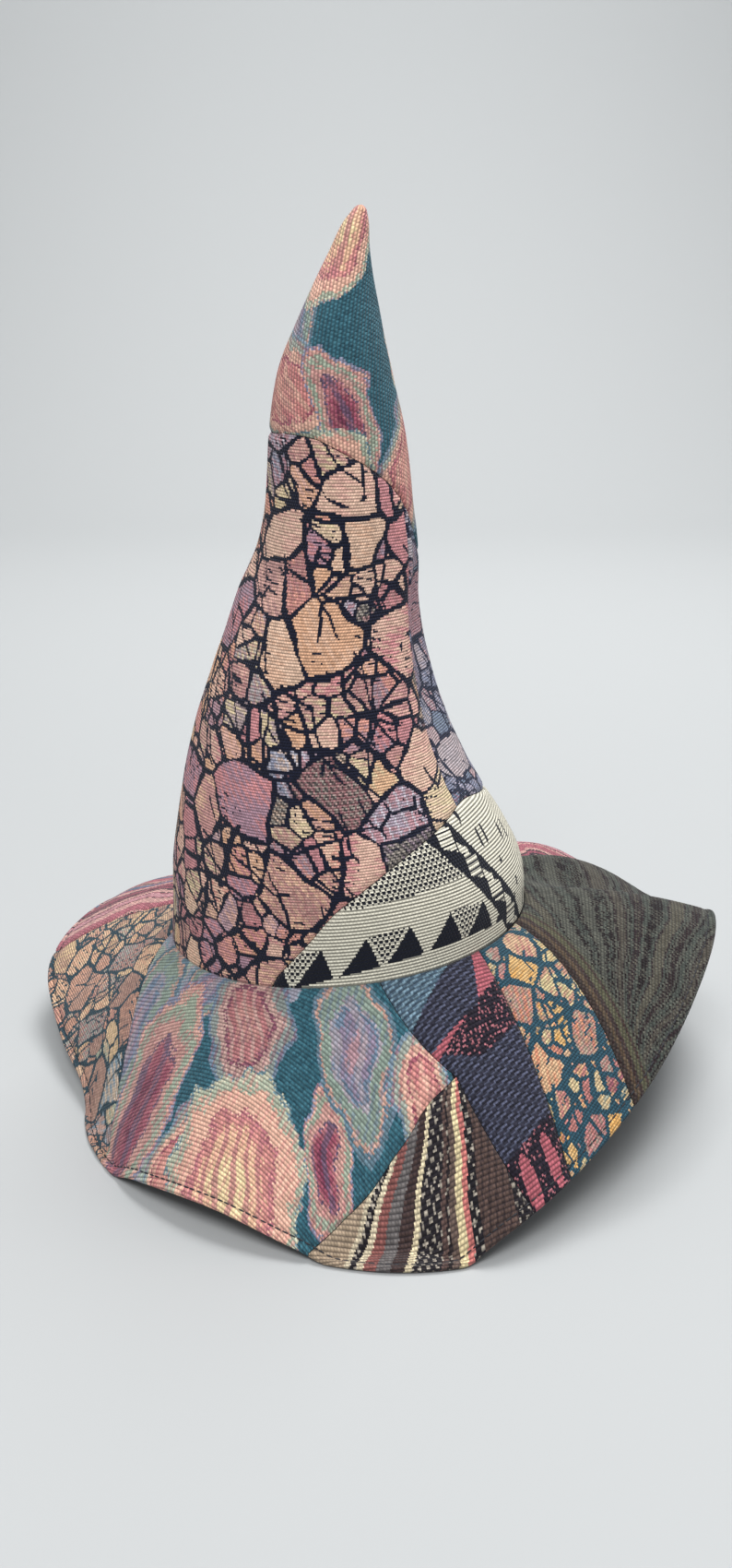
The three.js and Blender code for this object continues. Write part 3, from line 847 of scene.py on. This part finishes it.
TIP_VEILS = [((-4.2, 29.5), (3.2, 5.0)), ((8.0, 26.0), (3.5, 5.0))]
TIP_PEBBLES = [
    ((-2.9, 31.2), (1.9, 4.4), 0.15, LILAC_BANDS, 3),
    ((-2.8, 27.8), (2.9, 2.7), 0.5, CORAL_BANDS, 8),
    ((0.5, 26.8), (1.5, 3.6), 0.4, ROSE_BANDS, 3),
    ((-1.4, 24.4), (3.6, 1.7), 0.3, PEACH_BANDS, 4),
    ((-0.6, 35.0), (2.2, 3.6), -0.3, PEACH_BANDS, 4),
    ((4.4, 24.2), (2.0, 3.6), -0.2, CORAL_BANDS, 5),
    ((4.6, 30.4), (1.5, 2.8), 0.1, PEACH_BANDS, 3),
    ((8.0, 26.0), (2.6, 4.2), 0.3, ROSE_BANDS, 4),
    ((-7.6, 27.6), (2.8, 4.2), 0.0, PEACH_BANDS, 5),
    ((10.4, 21.6), (2.8, 3.6), 0.0, LILAC_BANDS, 5),
]
dress(tip_panel, banded_cloth("tip_banded_tapestry", TIP_VEILS, TIP_PEBBLES, 2.0, True),
      "crown_tip_panel")


# Brim front patch
# The brim is a floppy ring of patches over one dark facing. The front patch is the same banded tapestry as
# the pointed end. Its hem is turned down over the facing and topstitched, its sides are sewn to the next.
BRIM_CLOTH = 1.1
BRIM_STACK = 2.9
NECK_GAP = 0.4
FLOOR_EASE = 2.0
HEM_RADIUS = 1.4
HEM_TURNS = [20, 45, 70, 95, 120, 140]
HEM_REACH = 0.985
HEM_STITCH_IN = 4.6
HEM_DENT = 0.6
HEM_DENT_WIDE = 0.9
HEM_PUFF = 0.45
HEM_PUFF_IN = 2.0
HEM_PUFF_WIDE = 1.6
HEM_STARTS = 0.93
HEM_ROWS = [0.935, 0.947, 0.956, 0.966, 0.975, HEM_REACH]
HEM_AHEAD_FROM = 0.96
BRIM_WIDTH = 100.0
BRIM_DIP = 0.8
MEAN_NECK = 95
MEAN_SPREAD = 85
SEAM_SAMPLES = 240
FLOOR_CALM = 12.0

# The brim's waves: azimuth, reach of the edge, height of the edge, arch of the cloth on the way
BRIM_WAVES = [
    (0, 200, 90, 6), (13, 203, 66, 0), (26, 198, 60, 13), (33, 193, 53, 9), (41, 195, 60, 11),
    (58, 188, 24, 8), (74, 182, -11, 4), (96, 179, -11, 4), (118, 182, 12, 4), (140, 191, 38, 8),
    (152, 190, 40, 8), (166, 183, 31, 6), (180, 164, 18, 6), (197, 149, 9, 8), (212, 154, -12, 7),
    (230, 158, 9, 6), (247, 160, 15, 4), (262, 166, 6, 2), (280, 176, -15, 2), (294, 180, 13, 2),
    (310, 178, 33, 2), (325, 181, 55, 2), (342, 188, 79, 4),
]

# The brim's seams: azimuths at reaches from the crown (0) to the edge (1)
BRIM_SEAMS = {
    "left": [(0, -173), (1, -141)],
    "front_right": [(0, -80), (0.42, -66.5), (0.45, -73.5), (0.58, -81), (0.8, -89.6), (1, -96)],
    "stripe_right": [(0, -80), (0.42, -66.5), (1, -61)],
    "diamond_right": [(0, -46), (1, -54)],
    "mosaic_right": [(0, -24), (1, -40)],
    "dark_end": [(0, 33), (1, 33)],
    "rose_end": [(0, 80), (1, 80)],
    "back_end": [(0, 122), (1, 122)],
    "ruddy_end": [(0, 162), (1, 162)],
    "left_again": [(0, 187), (1, 219)],
}

brim_wave = table_reader(BRIM_WAVES, 360)


def lay_on_floor(height):
    """A height that levels out smoothly on the floor instead of going below it."""
    if height > FLOOR_EASE:
        return height
    return max(height + FLOOR_EASE, 0.0) ** 2 / (4 * FLOOR_EASE)


def brim_point(azimuth, reach):
    """The top of the brim in millimetres, by azimuth in degrees and reach from crown (0) to edge (1)."""
    edge_reach, edge_height, arch = brim_wave(azimuth)
    outward = Vector((math.cos(math.radians(azimuth)), math.sin(math.radians(azimuth)), 0.0))
    neck = crown_point(azimuth, FOOT_HEIGHT) + outward * NECK_GAP
    edge = outward * edge_reach
    edge.z = edge_height
    point = neck.lerp(edge, reach)
    point.z += arch * 4 * reach * (1 - reach)
    point.z = lay_on_floor(point.z - BRIM_STACK) + BRIM_STACK
    return point


def brim_normal(azimuth, reach):
    along = brim_point(azimuth + PROBE, reach) - brim_point(azimuth - PROBE, reach)
    outwards = brim_point(azimuth, reach + PROBE) - brim_point(azimuth, reach - PROBE)
    return outwards.cross(along).normalized()


def brim_creases(point):
    """How far handling has pushed the brim's cloth, dying away where it lies on the floor."""
    calm = min(max((point.z - BRIM_STACK) / (FLOOR_CALM - BRIM_STACK), 0.0), 1.0)
    return creases(point) * calm


def seam_at(seam, reach):
    """A brim seam's azimuth at one reach, along the straight lines between its rows."""
    rows = BRIM_SEAMS[seam]
    for (low, start), (high, end) in zip(rows, rows[1:]):
        if reach <= high:
            break
    return start + (end - start) * (reach - low) / (high - low)


def brim_map(middle):
    """Where a point of the brim lies on its flat cloth, in centimetres out from the crown seam."""
    def lie(azimuth, reach):
        neck = CROWN_SECTIONS[0][3]
        wide = neck + reach * BRIM_WIDTH
        turn = math.radians(azimuth - middle)
        return wide * math.sin(turn) * PER_CM, (wide * math.cos(turn) - neck) * PER_CM
    return lie


def hem_lift(reach):
    """The hem's soft roll beside the edge, and the dent that the topstitch pulls into it."""
    to_edge = (1.0 - reach) * BRIM_WIDTH
    dent = HEM_DENT * math.exp(-((to_edge - HEM_STITCH_IN) / HEM_DENT_WIDE) ** 2)
    return HEM_PUFF * math.exp(-((to_edge - HEM_PUFF_IN) / HEM_PUFF_WIDE) ** 2) - dent


def mean_radius(reach):
    return MEAN_NECK + MEAN_SPREAD * reach


def brim_patch(name, start, end, middle, first=0.0):
    """A patch between two brim seams, its outer edge turned down in a round hem over the facing."""
    arcs = [math.radians(seam_at(end, r) - seam_at(start, r)) * mean_radius(r) for r in (first, 0.5, 1.0)]
    columns = seam_steps(max(arcs))
    flat = [first + (HEM_REACH - first) * share for share in seam_steps(BRIM_WIDTH * (1.0 - first))]
    flat = [reach for reach in flat if reach < HEM_STARTS]
    rows = [(reach, 0.0) for reach in flat + HEM_ROWS] + [(HEM_REACH, turn) for turn in HEM_TURNS]
    seams = kdtree.KDTree(2 * (SEAM_SAMPLES + 1))
    for step in range(SEAM_SAMPLES + 1):
        for edge, seam in enumerate((start, end)):
            reach = first + (1.0 - first) * step / SEAM_SAMPLES
            seams.insert(brim_point(seam_at(seam, reach), reach), 2 * step + edge)
    seams.balance()
    lie = brim_map(middle)
    points = []
    lies = []
    for reach, hem_turn in rows:
        from_azimuth = seam_at(start, reach)
        to_azimuth = seam_at(end, reach)
        trim = min(math.degrees(SEAM_HALF_GAP / mean_radius(reach)), (to_azimuth - from_azimuth) / 2)
        for share in columns:
            azimuth = from_azimuth + trim + (to_azimuth - from_azimuth - 2 * trim) * share
            point = brim_point(azimuth, reach)
            upward = brim_normal(azimuth, reach)
            beside = seams.find(point)[2]
            pucker = PUCKER_DEEP * math.sin(2 * math.pi * reach * BRIM_WIDTH / PUCKER_PITCH)
            dip = (SEAM_DIP + pucker) * math.exp(-(beside / SEAM_ROLL) ** 2)
            if first == 0.0:
                dip = max(dip, SEAM_DIP * math.exp(-(reach * BRIM_WIDTH / SEAM_ROLL) ** 2))
            lift = brim_creases(point) + hem_lift(reach) - dip * BRIM_DIP
            point = point + upward * lift
            if hem_turn:
                turn = math.radians(hem_turn)
                ahead = brim_point(azimuth, 1.0) - brim_point(azimuth, HEM_AHEAD_FROM)
                ahead = (ahead - upward * ahead.dot(upward)).normalized()
                point += (ahead * math.sin(turn) - upward * (1 - math.cos(turn))) * HEM_RADIUS
            points.append(point)
            lies.append(lie(azimuth, reach + math.radians(hem_turn) * HEM_RADIUS / BRIM_WIDTH))
    piece = grid_of(name, len(columns) - 1, len(rows) - 1, points, lies)
    weld(piece, turn_over=True)
    thicken(piece, BRIM_CLOTH)
    return piece


front_patch = brim_patch("front_patch", "left", "front_right", -120)
FRONT_VEILS = [((-7.0, 4.0), (5.0, 9.0)), ((-1.0, 0.2), (4.0, 1.6)), ((-0.8, 9.6), (3.4, 1.8))]
FRONT_PEBBLES = [
    ((-8.0, 2.4), (2.0, 6.2), 0.55, LILAC_BANDS, 4),
    ((-2.4, 0.6), (1.7, 2.6), 0.6, LILAC_BANDS, 3),
    ((-4.9, 6.2), (3.0, 6.2), 0.28, ROSE_BANDS, 4),
    ((-1.0, 9.2), (1.6, 2.6), 0.1, CORAL_BANDS, 3),
    ((1.0, 2.0), (2.3, 3.4), -0.6, DUSK_BANDS, 8),
    ((3.2, 8.6), (4.3, 4.9), -0.35, PEACH_BANDS, 11),
    ((7.2, 4.8), (1.1, 2.8), -0.6, ROSE_BANDS, 3),
    ((6.4, 0.6), (1.9, 3.6), -0.75, LILAC_BANDS, 4),
    ((10.2, 0.2), (1.5, 3.0), -0.9, CORAL_BANDS, 4),
]
dress(front_patch, banded_cloth("front_banded_tapestry", FRONT_VEILS, FRONT_PEBBLES, 8.0),
      "brim_front_patch")


# Brim stripe patch
# A wedge of brown tapestry at the front edge, with uneven stripes of black, cream, rose and grey that spread
# out to the hem. Its two sides are sewn to the front and the diamond patch, its hem is topstitched.
stripe_patch = brim_patch("stripe_patch", "front_right", "stripe_right", -76, 0.42)


def stripe_cloth():
    """Uneven stripes that spread from a point near the crown, the dark ones dotted with cream."""
    cloth = Tapestry("stripe_tapestry")
    spread_u, spread_v = 3.1, -1.0
    u, v = cloth.split(cloth.wander(0.5, 0.45, 3.0))
    fan = cloth.per(cloth.less(u, spread_u), cloth.less(v, spread_v))
    colour = cloth.bands(cloth.plus(fan, 0.8), [
        (0.0, "a9957f"), (0.04, "d6c8ac"), (0.07, "201c20"), (0.11, "d9cbae"), (0.15, "8a5752"),
        (0.22, "6d6867"), (0.3, "453634"), (0.365, "e2d3b0"), (0.395, "262226"), (0.51, "5e4a45"),
        (0.538, "2c2425"), (0.555, "68574f"), (0.595, "e4d2a6"), (0.64, "cb7a74"), (0.67, "201d21"),
        (0.715, "584640"), (0.9, "201d21"),
    ])
    dark = cloth.under(cloth.add("RGBToBW", {0: colour}).outputs[0], 0.04)
    dotted = cloth.times(cloth.dots(0.34, 0.5), dark)
    colour = cloth.mix(dotted, colour, "a89f92")
    plaid = cloth.times(cloth.over(fan, -0.085), cloth.stripes(0.34, 0.2, 0.35))
    colour = cloth.mix(cloth.times(plaid, 0.6), colour, "2a2224")
    return cloth.finish(colour)


dress(stripe_patch, stripe_cloth(), "brim_stripe_patch")


# Brim diamond patch
# A narrow strip of tapestry from the crown to the hem: ribbed navy lozenges and slate on black cloth
# speckled with rose, and two rose leaves near the edge. It is sewn between its neighbours.
diamond_patch = brim_patch("diamond_patch", "stripe_right", "diamond_right", -60)


def diamond_cloth():
    """Navy lozenges with pale ribs, one after the other down a black and rose speckled strip."""
    cloth = Tapestry("diamond_tapestry")
    black, rose = "221c27", "b0606a"
    ribs = cloth.stripes(0.27, 1.25, 0.42)
    ribbed = cloth.mix(ribs, "2a2a37", "51556a")
    slate = cloth.mix(ribs, "4d6273", "7690a0")
    speckled = cloth.mix(cloth.under(cloth.chance(), 0.17), black, "a5666e")
    upper_point = cloth.times(cloth.side(0.217, 1.0, 4.0), cloth.side(-0.5, 1.0, 4.0))
    lower_end = cloth.side(0.2, 1.0, 7.73)
    colour = cloth.mix(lower_end, speckled, ribbed)
    colour = cloth.mix(upper_point, colour, speckled)
    colour = cloth.mix(cloth.side(0.4545, 1.0, 2.3), colour, rose)
    navy = cloth.times(cloth.side(0.26, 1.0, 2.26), cloth.side(1.0, 0.333, 1.67))
    colour = cloth.mix(navy, colour, ribbed)
    colour = cloth.mix(cloth.side(1.05, 1.8, 0.225), colour, slate)
    first_leaf = cloth.around((0.0, 9.1), (0.36, 1.2))
    second_leaf = cloth.around((1.45, 8.8), (0.32, 1.1))
    leaves = cloth.sum("MINIMUM", first_leaf, second_leaf)
    colour = cloth.mix(cloth.under(leaves, 1.0), colour, rose)
    return cloth.finish(colour)


dress(diamond_patch, diamond_cloth(), "brim_diamond_patch")


# Brim mosaic patch
# A strip of tapestry with small yellow, orange and rose cells on teal, like broken tiles. It widens from the
# crown to the hem and is sewn between the diamond and the dark patch.
mosaic_patch = brim_patch("mosaic_patch", "diamond_right", "mosaic_right", -40)
MOSAIC_PALETTE = [
    (0.0, "d9a560"), (0.1, "d48f70"), (0.2, "cfbf92"), (0.3, "be7f79"), (0.42, "9ca394"), (0.55, "9b5f69"),
]
MOSAIC_SHADES = [(0.0, "d3b17e"), (0.3, "b87973"), (0.55, "d6ba93"), (0.8, "959989")]
MOSAIC_ZONES = [((0.4, 8.6), (2.4, 2.6), 0.34), ((-1.2, 0.8), (1.6, 2.4), 0.3)]
mosaic = crackle_cloth("mosaic_tapestry", MOSAIC_PALETTE, MOSAIC_SHADES, "2c4f5e", MOSAIC_ZONES,
                       (1.6, 0.85), (0.26, 0.2), 13.0)
dress(mosaic_patch, mosaic, "brim_mosaic_patch")


# Brim dark patch
# A wide piece of charcoal marl with olive flecks and darker maroon streaks, standing up in a soft wave at the
# right. It is sewn to the mosaic patch in front and to the rose patch behind.
dark_patch = brim_patch("dark_patch", "mosaic_right", "dark_end", 0)


def charcoal_cloth(name, seed, spread, count, seam_strip):
    """Charcoal marl, flecked with olive and grey, with dim maroon streaks that spread from one place.

    seam_strip adds narrow rust and olive stripes along the patch's front seam."""
    cloth = Tapestry(name)
    u, v = cloth.split(cloth.wander(1.2, 0.3, seed))
    turn = cloth.sum("ARCTAN2", cloth.less(v, spread[1]), cloth.less(u, spread[0]))
    inputs = {"W": cloth.times(turn, count), "Scale": 1.0, "Detail": 0.0}
    tone = cloth.add("TexNoise", inputs, noise_dimensions="1D").outputs[0]
    ragged = cloth.line(cloth.chance(), 0.05, cloth.less(tone, 0.025))
    colour = cloth.bands(ragged, [
        (0.0, "4a453e"), (0.3, "2a2022"), (0.38, "4b4c46"), (0.47, "1e1719"), (0.52, "434843"),
        (0.62, "2b2124"), (0.69, "504c42"),
    ])
    flecked = cloth.under(cloth.cloudy(1.4, 1.0, seed + 2), 0.54)
    twill = cloth.times(cloth.stripes(0.216, cloth.TWILL, 0.4), flecked)
    colour = cloth.mix(cloth.times(twill, 0.3), colour, "7d7d70")
    if seam_strip:
        neck = CROWN_SECTIONS[0][3] * PER_CM
        wide = cloth.length(cloth.vector("ADD", cloth.stitch, (0.0, neck, 0.0)))
        straight = cloth.sum("ARCTAN2", cloth.u, cloth.plus(cloth.v, neck))
        seam = cloth.line(wide, math.radians(-1.6), math.radians(-24.0 + 1.6 * neck))
        from_seam = cloth.times(cloth.less(straight, seam), wide)
        rust = cloth.bands(cloth.times(from_seam, 0.6), [
            (0.0, "3a2b2a"), (0.2, "5d4a38"), (0.34, "3d2a2b"), (0.5, "5c5a44"), (0.7, "463430"),
            (0.8, "57594a"),
        ])
        colour = cloth.mix(cloth.times(cloth.under(from_seam, 1.5), 0.75), colour, rust)
    return cloth.finish(colour, groove="151617", fleck=0.3)


dress(dark_patch, charcoal_cloth("charcoal_tapestry", 5.0, (-12.5, 5.4), 8.0, True),
      "brim_dark_patch")


# Brim rose patch
# Rose tapestry with slate and dark stripes that run out from the crown. It is sewn in behind the dark patch,
# where the brim stands up, and only its upper edge is seen from the front.
rose_patch = brim_patch("rose_patch", "dark_end", "rose_end", 56)


def rose_cloth():
    """Rose tapestry in uneven wavy stripes that run out from the crown."""
    cloth = Tapestry("rose_tapestry")
    u, v = cloth.split(cloth.wander(1.2, 0.35, 14.0))
    turn = cloth.sum("ARCTAN2", u, cloth.plus(v, CROWN_SECTIONS[0][3] * PER_CM))
    inputs = {"W": cloth.times(turn, 14.0), "Scale": 1.0, "Detail": 1.0}
    tone = cloth.add("TexNoise", inputs, noise_dimensions="1D").outputs[0]
    colour = cloth.bands(tone, [
        (0.0, "7c8da0"), (0.3, "c9949a"), (0.4, "9a5865"), (0.45, "3f363c"), (0.48, "d2a39c"),
        (0.55, "b06a74"), (0.62, "64748a"), (0.7, "dab4a2"),
    ])
    return cloth.finish(colour)


rose = rose_cloth()
dress(rose_patch, rose, "brim_rose_patch")


# Brim back patch
# A second piece of the charcoal marl, which closes the brim behind and lies on the floor there. It isn't seen
# from the front, so it is finished plainly.
rear_patch = brim_patch("rear_patch", "rose_end", "back_end", 101)
dress(rear_patch, charcoal_cloth("rear_charcoal_tapestry", 9.0, (-9.0, 7.0), 8.0, False),
      "brim_back_patch")


# Brim ruddy patch
# A second piece of the striped rose tapestry, behind on the left. It is sewn to the back and the left patch,
# and its stripes show past the crown's left side.
ruddy_patch = brim_patch("ruddy_patch", "back_end", "ruddy_end", 142)
dress(ruddy_patch, rose, "brim_ruddy_patch")


# Brim left patch
# Tapestry at the left of the brim: peach and brown cells between thin teal lines, with blue grey and sage by
# the front seam. Its hem hangs down to the floor at the left front.
left_patch = brim_patch("left_patch", "ruddy_end", "left_again", 188)
LEFT_PALETTE = [
    (0.0, "dcae90"), (0.12, "b99484"), (0.24, "ddbd94"), (0.34, "c99a86"), (0.44, "a9b19d"), (0.58, "8ba4b4"),
]
LEFT_ZONES = [((6.5, 4.5), (4.5, 6.0), 0.5)]
LEFT_SHADES = [(0.0, "e3c2a0"), (0.3, "a98478"), (0.55, "d9a58c"), (0.8, "97a5a0")]
left_cloth = crackle_cloth("left_mosaic_tapestry", LEFT_PALETTE, LEFT_SHADES, "2b4652", LEFT_ZONES,
                           (2.0, 1.2), (0.2, 0.14), 33.0)
dress(left_patch, left_cloth, "brim_left_patch")


# Brim facing
# One ring of dark cloth lines the whole brim, from under the crown's foot to the hem, where the patches are
# turned down over it and topstitched. Its dark colour is painted shade, for the shade under the raised hem.
FACING_CLOTH = 1.0
FACING_DEPTH = 1.75
FACING_START = -0.022
FACING_EDGE = 0.982
FACING_DROP = 1.4
FACING_DROPS_OVER = 0.06
FACING_COLUMNS = 288
FACING_ROWS = 32


def facing_painted_shade_cloth():
    """Dark cloth with a faint marl, its darkness painted shade for the shade under the brim."""
    cloth = Tapestry("facing_cloth")
    tone = cloth.cloudy(0.8, seed=6.0)
    return cloth.finish(cloth.bands(tone, [(0.3, "2b2c30"), (0.7, "3a3a3e")], smooth=True), groove="141416")


facing_points = []
facing_lies = []
for row in range(FACING_ROWS + 1):
    for column in range(FACING_COLUMNS + 1):
        azimuth = 360.0 * column / FACING_COLUMNS
        reach = FACING_START + (FACING_EDGE - FACING_START) * row / FACING_ROWS
        drop = FACING_DROP * max(1 - (reach - FACING_START) / FACING_DROPS_OVER, 0.0)
        underside = brim_normal(azimuth, reach) * (FACING_DEPTH + FACING_CLOTH + drop)
        facing_points.append(brim_point(azimuth, reach) - underside)
        facing_lies.append(brim_map(0)(azimuth, reach))
facing_ring = grid_of("facing_ring", FACING_COLUMNS, FACING_ROWS, facing_points, facing_lies)
weld(facing_ring)
thicken(facing_ring, FACING_CLOTH)
dress(facing_ring, facing_painted_shade_cloth(), "brim_facing")


# Hem topstitch
# A row of small stitches in dark thread runs right round the brim, a few millimetres in from the edge. It
# holds the hem down on the facing.
STITCH_LONG = 3.3
STITCH_THICK = 0.95
STITCH_FLAT = 0.7
STITCH_LIFT = 0.1
STITCH_PITCH = 3.8
STITCH_REACH = 1.0 - HEM_STITCH_IN / BRIM_WIDTH
ROUND_STEPS = 1440
bpy.ops.object.select_all(action="DESELECT")
bpy.ops.mesh.primitive_uv_sphere_add(segments=6, ring_count=4, radius=0.5)
stitch = bpy.context.object
bpy.ops.object.mode_set(mode="EDIT")
bpy.ops.transform.resize(value=(STITCH_THICK * MM, STITCH_THICK * MM * STITCH_FLAT, STITCH_LONG * MM))
bpy.ops.object.mode_set(mode="OBJECT")
bpy.ops.object.shade_smooth()
hem_round = [brim_point(360 * step / ROUND_STEPS, STITCH_REACH) for step in range(ROUND_STEPS + 1)]
walked = 0.0
stitches = bmesh.new()
for step in range(ROUND_STEPS):
    walked += (hem_round[step + 1] - hem_round[step]).length
    if walked < STITCH_PITCH:
        continue
    walked -= STITCH_PITCH
    spot = hem_round[step]
    along = (hem_round[step + 1] - spot).normalized()
    upward = brim_normal(360 * step / ROUND_STEPS, STITCH_REACH)
    across = upward.cross(along).normalized()
    lift = brim_creases(spot) + hem_lift(STITCH_REACH) + STITCH_LIFT
    where = (spot + upward * lift - HAT_MIDDLE) * MM
    turn = Matrix((across, upward, along)).transposed().to_4x4()
    shape = stitch.data.copy()
    shape.transform(Matrix.Translation(where) @ turn)
    stitches.from_mesh(shape)
    bpy.data.meshes.remove(shape)
stitches.to_mesh(stitch.data)
stitches.free()
stitch.name = "hem_topstitch"
thread = bpy.data.materials.new("dark_thread")
thread.use_nodes = True
thread_shader = thread.node_tree.nodes["Principled BSDF"]
thread_shader.inputs["Base Color"].default_value = linear("2a2a30")
thread_shader.inputs["Roughness"].default_value = 0.75
stitch.data.materials.append(thread)
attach(stitch, "root")
